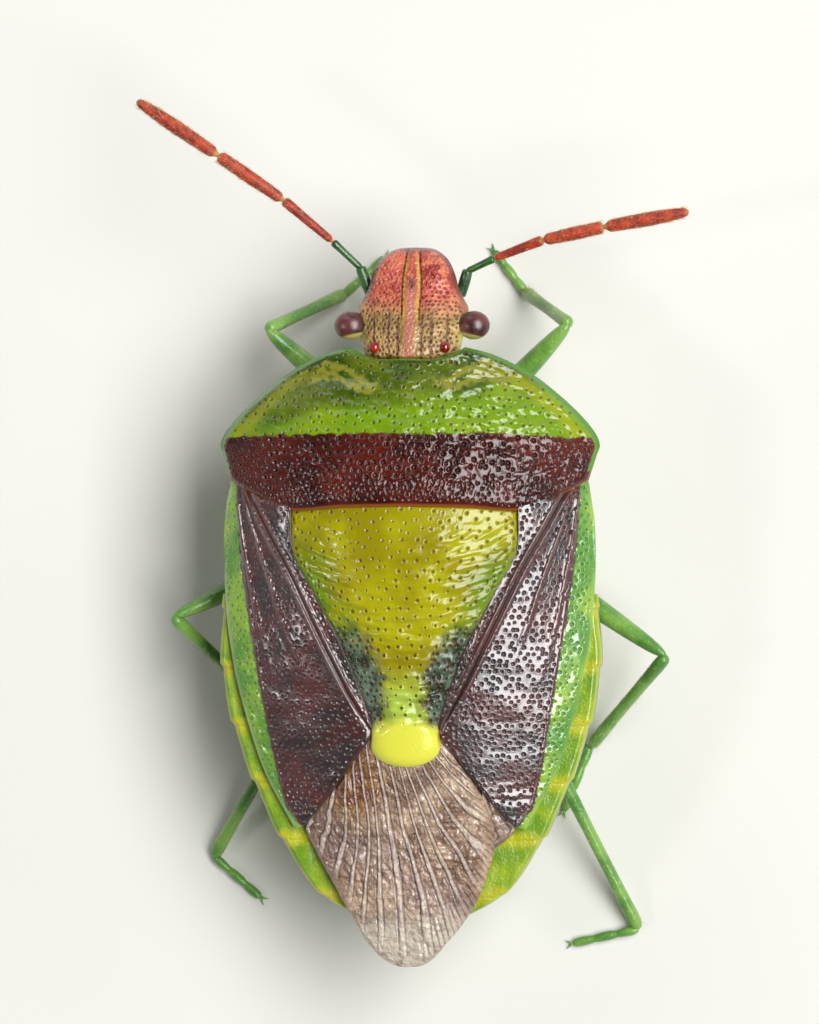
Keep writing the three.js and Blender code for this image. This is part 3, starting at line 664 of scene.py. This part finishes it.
# Eyes: purplish brown compound eyes at the rear corners of the head, with fine facets.
# Two small red ocelli sit like glass beads on the head's top between them.
EYE_RADII = (0.27, 0.24, 0.22)
EYE_PLACE = (1.04, 1.31, 2.86)
OCELLUS_RADIUS = 0.095
OCELLUS_PLACE = (0.59, 1.68)
OCELLUS_SUNK = 0.15
maroon_eye = Finish("eye_surface", Roughness=0.3, Specular_IOR_Level=0.6, Coat_Weight=0.4,
                    Coat_Roughness=0.25)
grape = maroon_eye.blend(maroon_eye.grain(3.0), "381418", "64302e")
maroon_eye.colour(maroon_eye.blend(maroon_eye.mask("socket"), grape, "b0a860"))
maroon_eye.bump(maroon_eye.cells(45), 0.006, 0.5)
red_bead = Finish("ocellus_lens", Roughness=0.08, Specular_IOR_Level=0.6, Coat_Weight=1.0,
                  Coat_Roughness=0.03)
red_bead.colour(red_bead.blend(red_bead.grain(8.0), "6a0a04", "a81e0c"))
for name, side in SIDES.items():
    ball = bmesh.new()
    socket = ball.verts.layers.float.new("socket")
    bmesh.ops.create_uvsphere(ball, u_segments=64, v_segments=40, radius=1)
    for vert in ball.verts:
        vert[socket] = float(fade(vert.co.y - 0.25 * side * vert.co.x, 0.62, 0.72))
    bmesh.ops.scale(ball, vec=EYE_RADII, verts=ball.verts)
    x, y, z = EYE_PLACE
    bmesh.ops.translate(ball, vec=(side * x + HEAD_SHIFT, y, z), verts=ball.verts)
    settle(ball, f"eye_{name}_lens", maroon_eye, "eye", f"eye_{name}")
    bead = bmesh.new()
    bmesh.ops.create_uvsphere(bead, u_segments=28, v_segments=18, radius=OCELLUS_RADIUS)
    x, y = OCELLUS_PLACE
    height = float(head_top(y)) - OCELLUS_SUNK
    bmesh.ops.translate(bead, vec=(side * x + HEAD_SHIFT, y, height), verts=bead.verts)
    settle(bead, f"ocellus_{name}", red_bead, "head")

# Antennae: five slim joints on each side, the first two green, the rest brick red.
# Pale narrow necks join them, and the last three carry a fringe of golden hairs.
ANTENNA_JOINTS = {
    "left": ((0.72, 0.78, 2.4), (0.87, 0.34, 2.5), (1.3, -0.08, 2.66), (2.1, -0.77, 2.9),
             (3.18, -1.52, 3.05), (4.55, -2.44, 3.1)),
    "right": ((-0.8, 0.82, 2.4), (-0.93, 0.4, 2.5), (-1.38, 0.2, 2.66), (-2.22, -0.1, 2.9),
              (-3.25, -0.31, 3.05), (-4.68, -0.56, 3.1)),
}
ANTENNA_GIRTH = (0.095, 0.064, 0.09, 0.112, 0.118)
NECK_OVERLAP = 0.03
ANTENNA_TAPER = ((0.9, 1, 0.9), (0.9, 0.95, 1.15), (0.68, 0.85, 1.05), (0.8, 1, 0.92),
                 (0.85, 1, 0.6))
GREEN_JOINTS = 2
ANTENNA_HAIRS = (0, 0, 120, 420, 560)
HAIR_LENGTH = 0.07
HAIR_ROOT, HAIR_TIP = 0.0045, 0.0008


def tube(start, end, girth, sides=20, rings=26, blunt=20):
    """A closed round shaft: a grid rolled up between two points, drawn to a pole at each end."""
    start, end = Vector(start), Vector(end)
    heading = (end - start).normalized()
    turn = heading.to_track_quat("Z", "Y").to_matrix()
    bm = bmesh.new()
    bmesh.ops.create_grid(bm, x_segments=sides, y_segments=rings, size=0.5)
    layer = bm.verts.layers.float.new("along")
    for vert in bm.verts:
        angle = (vert.co.x + 0.5) * math.tau
        share = (1 - math.cos(math.pi * (vert.co.y + 0.5))) / 2
        radius = girth(share) * math.sqrt(max(0, 1 - (2 * share - 1) ** blunt))
        out = turn @ Vector((math.cos(angle), math.sin(angle), 0))
        vert.co = start.lerp(end, share) + out * radius
        vert[layer] = share
    bmesh.ops.remove_doubles(bm, verts=bm.verts, dist=1e-4)
    bmesh.ops.recalc_face_normals(bm, faces=bm.faces)
    return bm


def add_hairs(bm, start, end, girth, count, seed):
    """Thin spikes that stand off a shaft and lean to its tip."""
    own = np.random.default_rng(seed)
    start, end = Vector(start), Vector(end)
    heading = (end - start).normalized()
    turn = heading.to_track_quat("Z", "Y").to_matrix()
    for share, angle, size in own.uniform((0.06, 0, 0.6), (0.98, math.tau, 1.2), (count, 3)).tolist():
        out = turn @ Vector((math.cos(angle), math.sin(angle), 0))
        root = start.lerp(end, share) + out * girth(share) * 0.9
        lie = (out * 0.75 + heading).normalized()
        tall = HAIR_LENGTH * size
        upright = lie.to_track_quat("Z", "Y").to_matrix().to_4x4()
        place = Matrix.Translation(root + lie * tall / 2) @ upright
        bmesh.ops.create_cone(bm, segments=3, radius1=HAIR_ROOT, radius2=HAIR_TIP, depth=tall,
                              cap_ends=True, matrix=place)


brick = Finish("antenna_red", Roughness=0.42, Specular_IOR_Level=0.5, Coat_Weight=0.15,
               Coat_Roughness=0.3)
red = brick.blend(brick.grain(5.0), "8a1c0c", "b83c1c")
neck = brick.nodes.new("ShaderNodeValToRGB")
for at, value in ((0.0, 1), (0.05, 1), (0.08, 0), (0.95, 0), (0.98, 0.4)):
    stop = neck.color_ramp.elements.new(at)
    stop.color = (value, value, value, 1)
brick.links.new(brick.mask("along"), neck.inputs["Fac"])
brick.colour(brick.blend(neck.outputs["Color"], red, "b8864a"))
brick.bump(brick.grain(30, 3), 0.008, 0.8)
golden = Finish("golden_hair", Roughness=0.45, Specular_IOR_Level=0.5)
golden.colour(golden.blend(golden.grain(4.0), "c9a45a", "e8cf92"))
moss = Finish("limb_green", Roughness=0.28, Specular_IOR_Level=0.5, Coat_Weight=0.4,
              Coat_Roughness=0.12)
stem = moss.blend(moss.grain(1.5), "4c8230", "78a448")
moss.colour(moss.blend(moss.grain(9.0, low=0.6, high=0.9), stem, "9cc07c"))
moss.bump(moss.grain(18, 4), 0.008, 0.6)
bottle = Finish("antenna_green", Roughness=0.26, Specular_IOR_Level=0.6, Coat_Weight=0.5,
                Coat_Roughness=0.12)
bottle.colour(bottle.blend(bottle.grain(3.0), "153a14", "2c5f1e"))
bottle.bump(bottle.grain(18, 4), 0.008, 0.6)

for name, joints in ANTENNA_JOINTS.items():
    for number, thick in enumerate(ANTENNA_GIRTH):
        def girth(share, thick=thick, number=number):
            root, middle, tip = ANTENNA_TAPER[number]
            wide = mix(root, middle, min(1, 2 * share)) + (tip - middle) * max(0, 2 * share - 1) ** 2
            if number >= GREEN_JOINTS:
                wide *= float(mix(0.5, 1, fade(share, 0.03, 0.1)))
            return thick * wide
        finish, slot = (bottle, "limb") if number < GREEN_JOINTS else (brick, "antenna")
        start, end = Vector(joints[number]), Vector(joints[number + 1])
        end += (end - start).normalized() * NECK_OVERLAP
        shaft = tube(start, end, girth)
        settle(shaft, f"antenna_{name}_joint_{number + 1}", finish, slot,
               f"antenna_{name}_{number + 1}")
        if number >= GREEN_JOINTS:
            fringe = bmesh.new()
            add_hairs(fringe, start, end, girth, ANTENNA_HAIRS[number], 70 + number)
            settle(fringe, f"antenna_{name}_hairs_{number + 1}", golden, "antenna")

# Thorax: the green core under the pronotum and the wing roots, with the legs' seats below.
# It is one plate bent downwards, smooth along its keel, whose walls rise to meet the back.
BELLY = 1.25
WAIST = 6.05
THORAX_INSET = 0.28
THORAX_PITS = (0.2, 0.05)
THORAX_PIT_DEPTH, JOINT_DEPTH = 0.03, 0.05
THORAX_SIDE = 0.85
THORAX_WALLS = ((0.0, -0.1), (0.01, -0.32))
thorax_keel = along((2.0, 1.75), (2.7, 1.35), (3.6, BELLY), (WAIST, BELLY))


def belly(x, half, edge, keel):
    """Height of the underside, from the keel in the middle to the edge at half its width."""
    reach = np.clip(np.abs(x) / half, 0, 1)
    return mix(edge, keel, (1 - reach**2) ** 0.75)


def on_thorax(u, v):
    y = mix(1.98, WAIST, v)
    return (2 * u - 1) * (half_width(y) - THORAX_INSET), y


def thorax_surface(x, y, u, v, inside):
    half = half_width(y) - THORAX_INSET
    edge = back(half, y) - THORAX_SIDE
    pit = pits(x, y, *THORAX_PITS, 81)[0]
    pit = pit * fade(np.abs(x), 0.9, 1.3) * fade(inside, 0.05, 0.1)
    segment = hump(y - 3.75 - 0.12 * np.abs(x), 0, 0.03) + hump(y - 5.0 - 0.15 * np.abs(x), 0, 0.03)
    z = belly(x, half, edge, thorax_keel(y)) + THORAX_PIT_DEPTH * pit + JOINT_DEPTH * segment
    return z, {"pit": pit, "joint": segment}


belly_green = Finish("underside_cuticle", Roughness=0.34, Specular_IOR_Level=0.5,
                     Coat_Weight=0.25, Coat_Roughness=0.2)
under = belly_green.blend(belly_green.grain(1.2), "7c9826", "94a838")
under = belly_green.blend(belly_green.mask("joint"), under, "c2b53c")
belly_green.colour(belly_green.blend(belly_green.mask("pit"), under, "4c5a20"))
belly_green.bump(belly_green.grain(20, 4), 0.006, 0.6)
shell = plate(150, 110, on_thorax, thorax_surface, THORAX_WALLS)
settle(shell, "thorax_core", belly_green, "underside", "thorax")

# Abdomen: a green tray under the wings. Its rim shows beside them as a row of segments,
# yellow at each joint, with a pale edge line and a small tooth at every rear corner.
LAST_TOOTH = 10.87
SEGMENT = 0.96
TOOTH = 0.05
ABDOMEN_END = 11.3
RIM_EDGE_DROP, RIM_CREASE_DEPTH, HIDDEN_DROP = 0.1, 0.014, 0.32
BELLY_DROP = 0.45
BELLY_SPOT = ((0.8, 0.1), (0.03, 0.05))
RIM_WALLS = ((0.0, 0.05), (0.01, 0.12))
BELLY_WALLS = ((0.0, -0.14), (0.003, -0.2))
wing_line = along((5.9, 3.1), (6.75, 3.0), (7.6, 2.82), (8.75, 2.46), (9.3, 2.15), (9.8, 1.7),
                  (10.3, 1.35), (LAST_TOOTH, 1.0), (ABDOMEN_END, 0.5))
abdomen_keel = along((WAIST, BELLY), (9.5, BELLY), (10.6, 1.5), (ABDOMEN_END, 1.75))


def tooth(y):
    """How far the rim stands out at a segment's rear corner."""
    share = np.mod((y - LAST_TOOTH) / SEGMENT, 1)
    return np.where(y > LAST_TOOTH, 0, TOOTH * share**1.5 * fade(share, 1.0, 0.93))


def on_abdomen(u, v):
    y = mix(WAIST - 0.25, ABDOMEN_END, v)
    outer = half_width(y) + tooth(y) - 0.02
    across = 2 * u - 1
    return np.sign(across) * np.abs(across) ** 0.6 * outer, y


def rim_surface(x, y, u, v, inside):
    outer = half_width(y) + tooth(y) - 0.02
    from_edge = outer - np.abs(x)
    share = np.mod((y - LAST_TOOTH) / SEGMENT, 1)
    blur = 0.08 * ripple(x, y, 3, 3, 93) + 0.05 * ripple(x, y, 9, 9, 94)
    joint = fade(np.minimum(share, 1 - share) + blur, 0.22, 0.04)
    outside = np.abs(x) - wing_line(y)
    raised = fade(outside, -0.14, -0.02)
    crease = hump(share, 0.02, 0.016) * raised
    z = mix(back(x, y) - HIDDEN_DROP, rim(y) - 0.03, raised) - RIM_CREASE_DEPTH * crease
    z += ripple(x, y, 6, 3, 91) * 0.012 * raised - RIM_EDGE_DROP * (1 - fade(from_edge, -0.05, 0.09))
    return z, {"joint": joint * raised * 0.7, "line": fade(from_edge, 0.03, 0.01) + 0.4 * crease}


rim_green = Finish("connexivum_cuticle", Roughness=0.28, Specular_IOR_Level=0.6,
                   Coat_Weight=0.45, Coat_Roughness=0.14)
leafy = rim_green.blend(rim_green.grain(2.2), "668e08", "8ea60e")
leafy = rim_green.blend(rim_green.mask("joint"), leafy, "bcb40e")
leafy = rim_green.blend(rim_green.mask("line"), leafy, "a8b040")
rim_green.colour(leafy)
rim_green.bump(rim_green.grain(22, 4), 0.006, 0.6)
shell = plate(210, 300, on_abdomen, rim_surface, RIM_WALLS)
settle(shell, "abdomen_rim", rim_green, "underside")


def under_abdomen(u, v):
    y = mix(WAIST, ABDOMEN_END - 0.02, v)
    return (2 * u - 1) * (half_width(y) + tooth(y) - 0.04), y


def abdomen_surface(x, y, u, v, inside):
    half = half_width(y) + TOOTH
    share = np.mod((y - LAST_TOOTH + 0.1 * np.abs(x) ** 1.5) / SEGMENT, 1)
    joint = hump(share, 0.5, 0.03) * 0.6
    z = belly(x, half, rim(y) - BELLY_DROP, abdomen_keel(y)) + JOINT_DEPTH * joint
    spot = np.exp(-oval(np.abs(x) / half, share, *BELLY_SPOT))
    return z, {"pit": spot, "joint": joint * 0.4}


shell = plate(140, 130, under_abdomen, abdomen_surface, BELLY_WALLS)
settle(shell, "abdomen_belly", belly_green, "underside", "abdomen")

# Beak: four slim joints, folded back along the middle of the underside between the legs.
# It is green cuticle like the legs, and lies against the keel.
BEAK = ((0, 0.45, 1.93), (0, 1.35, 1.5), (0, 2.6, 1.22), (0, 3.9, 1.14), (0, 5.0, 1.14))
BEAK_GIRTH, JOINT_STEP, JOINT_TAPER = 0.1, 0.015, 0.012
beak = bmesh.new()
for number in range(len(BEAK) - 1):
    def girth(share, number=number):
        return BEAK_GIRTH - JOINT_STEP * number - JOINT_TAPER * share
    joint = tube(BEAK[number], BEAK[number + 1], girth, sides=14, rings=12)
    piece = bpy.data.meshes.new("beak_joint")
    joint.to_mesh(piece)
    joint.free()
    beak.from_mesh(piece)
    bpy.data.meshes.remove(piece)
settle(beak, "beak", moss, "limb", "rostrum")

# Legs: a short coxa in its seat, a femur, a slimmer tibia with bristles, and a three-part foot
# that ends in two claws. All are glossy green, and in life hollow tubes of cuticle.
COXAE = {"front": (0.62, 3.06), "middle": (0.72, 4.6), "hind": (0.8, 5.6)}
LEGS = {
    "front": {"left": ((2.56, 1.35, 1.75), (1.45, 0.72, 0.13), (0.75, 0.1, 0.07)),
              "right": ((-2.56, 1.27, 1.75), (-1.65, 0.7, 0.13), (-1.1, 0.0, 0.07))},
    "middle": {"left": ((4.16, 6.2, 1.75), (2.75, 7.75, 0.13), (2.5, 8.85, 0.07)),
               "right": ((-4.2, 6.85, 1.75), (-2.75, 8.4, 0.13), (-2.3, 9.5, 0.07))},
    "hind": {"left": ((2.42, 8.3, 1.15), (3.7, 10.3, 0.13), (2.9, 11.0, 0.07)),
             "right": ((-2.3, 8.75, 1.15), (-3.58, 11.5, 0.13), (-2.45, 11.75, 0.07))},
}
FEMUR, TIBIA, FOOT = 0.16, 0.1, 0.08
HIP_HEIGHT, HIP_OUT = 0.75, 0.1
COXA_TOP, COXA_BASE = 1.45, 0.72
COXA_TOP_IN, COXA_BASE_OUT = 0.12, 0.06
CLAW_REACH, CLAW_LENGTH, CLAW_SPREAD = 0.13, 0.15, 0.5
CLAW_ROOT, CLAW_TIP = 0.028, 0.004
BRISTLES = 110


def coxa_girth(share):
    return 0.3 - 0.1 * share


def femur_girth(share):
    return FEMUR * (0.72 + 0.55 * math.sin(math.pi * share**0.8) ** 0.8 - 0.12 * share)


def tibia_girth(share):
    return TIBIA * (1 + 0.25 * (2 * share - 1) ** 2)


def foot_girth(share):
    parts = abs(math.sin(math.pi * (0.08 + 2.84 * share))) ** 0.35
    return FOOT * (0.55 + 0.45 * parts)


for row, pair in LEGS.items():
    for name, (knee, ankle, toe) in pair.items():
        side = SIDES[name]
        x, y = COXAE[row]
        hip = (side * (x + HIP_OUT), y, HIP_HEIGHT)
        seat = tube((side * (x - COXA_TOP_IN), y, COXA_TOP),
                    (side * (x + COXA_BASE_OUT), y, COXA_BASE), coxa_girth, blunt=6)
        settle(seat, f"coxa_{row}_{name}_cup", belly_green, "underside", f"coxa_{row}_{name}")
        shaft = tube(hip, knee, femur_girth, blunt=12)
        settle(shaft, f"femur_{row}_{name}_shaft", moss, "limb", f"femur_{row}_{name}")
        shin = tube(knee, ankle, tibia_girth)
        settle(shin, f"tibia_{row}_{name}_shaft", moss, "limb", f"tibia_{row}_{name}")
        foot = tube(ankle, toe, foot_girth, rings=48)
        aim = (Vector(toe) - Vector(ankle)).normalized()
        for turn in (-CLAW_SPREAD, CLAW_SPREAD):
            hook = Matrix.Rotation(turn, 3, "Z") @ aim
            tip = Vector(toe) + hook * CLAW_REACH
            claw = Vector(toe).lerp(tip, 0.5) - Vector((0, 0, 0.01))
            place = Matrix.Translation(claw) @ hook.to_track_quat("Z", "Y").to_matrix().to_4x4()
            bmesh.ops.create_cone(foot, segments=8, radius1=CLAW_ROOT, radius2=CLAW_TIP,
                                  depth=CLAW_LENGTH, cap_ends=True, matrix=place)
        settle(foot, f"tarsus_{row}_{name}_foot", moss, "limb", f"tarsus_{row}_{name}")
        bristles = bmesh.new()
        add_hairs(bristles, knee, ankle, tibia_girth, BRISTLES, len(row) + side)
        settle(bristles, f"tibia_{row}_{name}_bristles", golden, "limb")

# Floor, light and camera: a plain pale floor under a soft studio sky, a broad lamp over the
# animal's right shoulder and two small lamps across from it. A long lens looks down from almost
# straight above, a little to the animal's right.
ground = bmesh.new()
bmesh.ops.create_grid(ground, x_segments=1, y_segments=1, size=0.5)
floor_mesh = bpy.data.meshes.new("floor")
ground.to_mesh(floor_mesh)
ground.free()
floor = bpy.data.objects.new("floor", floor_mesh)
bpy.context.scene.collection.objects.link(floor)
pale = Finish("floor_paint", Roughness=0.8, Specular_IOR_Level=0.2)
pale.colour(pale.blend(pale.grain(0.05), "d9d8d2", "dedcd6"))
floor_mesh.materials.append(pale.material)

FRAME_HEIGHT = 1024
PIXELS_PER_MM = 59.8
TILT = math.radians(7)
AIM_PLACE = (0.01, 4.43, 2.8)
aim = Vector(AIM_PLACE) * MM + SHIFT
toward = Vector((-math.sin(TILT), 0, math.cos(TILT)))
head_up = Vector((0, -1, 0))
DISTANCE = 0.16
SENSOR_HEIGHT = 24
lens_data = bpy.data.cameras.new("camera")
lens_data.sensor_fit = "VERTICAL"
lens_data.sensor_height = SENSOR_HEIGHT
lens_data.lens = DISTANCE * SENSOR_HEIGHT / (FRAME_HEIGHT / PIXELS_PER_MM * MM)
lens_data.clip_start = 0.005
camera = bpy.data.objects.new("camera", lens_data)
bpy.context.scene.collection.objects.link(camera)
right = head_up.cross(toward)
camera.matrix_world = Matrix.Translation(aim + toward * DISTANCE) @ Matrix(
    (right, head_up, toward)).transposed().to_4x4()
bpy.context.scene.camera = camera


LAMP_DISTANCE = 0.25


def lamp(name, heading, size, watts):
    """A soft lamp of a given size in metres that looks at the animal from a heading."""
    light = bpy.data.lights.new(name, "AREA")
    light.shape = "RECTANGLE"
    light.size, light.size_y = size
    light.energy = watts
    holder = bpy.data.objects.new(name, light)
    bpy.context.scene.collection.objects.link(holder)
    heading = Vector(heading).normalized()
    holder.location = heading * LAMP_DISTANCE + aim
    across = Vector((0, 1, 0)).cross(heading).normalized()
    holder.rotation_euler = Matrix((across, heading.cross(across), heading)).transposed().to_euler()


lamp("key_lamp", (-0.5, -0.07, 0.87), (0.13, 0.26), 1.0)
lamp("fill_lamp", (0.35, -0.86, 0.42), (0.16, 0.08), 0.07)
lamp("spark_lamp", (0.64, 0.12, 0.73), (0.035, 0.03), 0.07)
SKY_COLOUR = (0.93, 0.96, 1.0, 1)
SKY_STRENGTH = (("From Min", 0.2), ("From Max", 0.6), ("To Min", 0.38), ("To Max", 0.04))
sky = bpy.data.worlds.new("sky")
sky.use_nodes = True
dome, join = sky.node_tree.nodes, sky.node_tree.links
split, height = dome.new("ShaderNodeSeparateXYZ"), dome.new("ShaderNodeMapRange")
join.new(dome.new("ShaderNodeTexCoord").outputs["Generated"], split.inputs["Vector"])
join.new(split.outputs["Z"], height.inputs["Value"])
for socket, value in SKY_STRENGTH:
    height.inputs[socket].default_value = value
join.new(height.outputs["Result"], dome["Background"].inputs["Strength"])
dome["Background"].inputs["Color"].default_value = SKY_COLOUR
bpy.context.scene.world = sky
bpy.context.scene.view_settings.view_transform = "Standard"
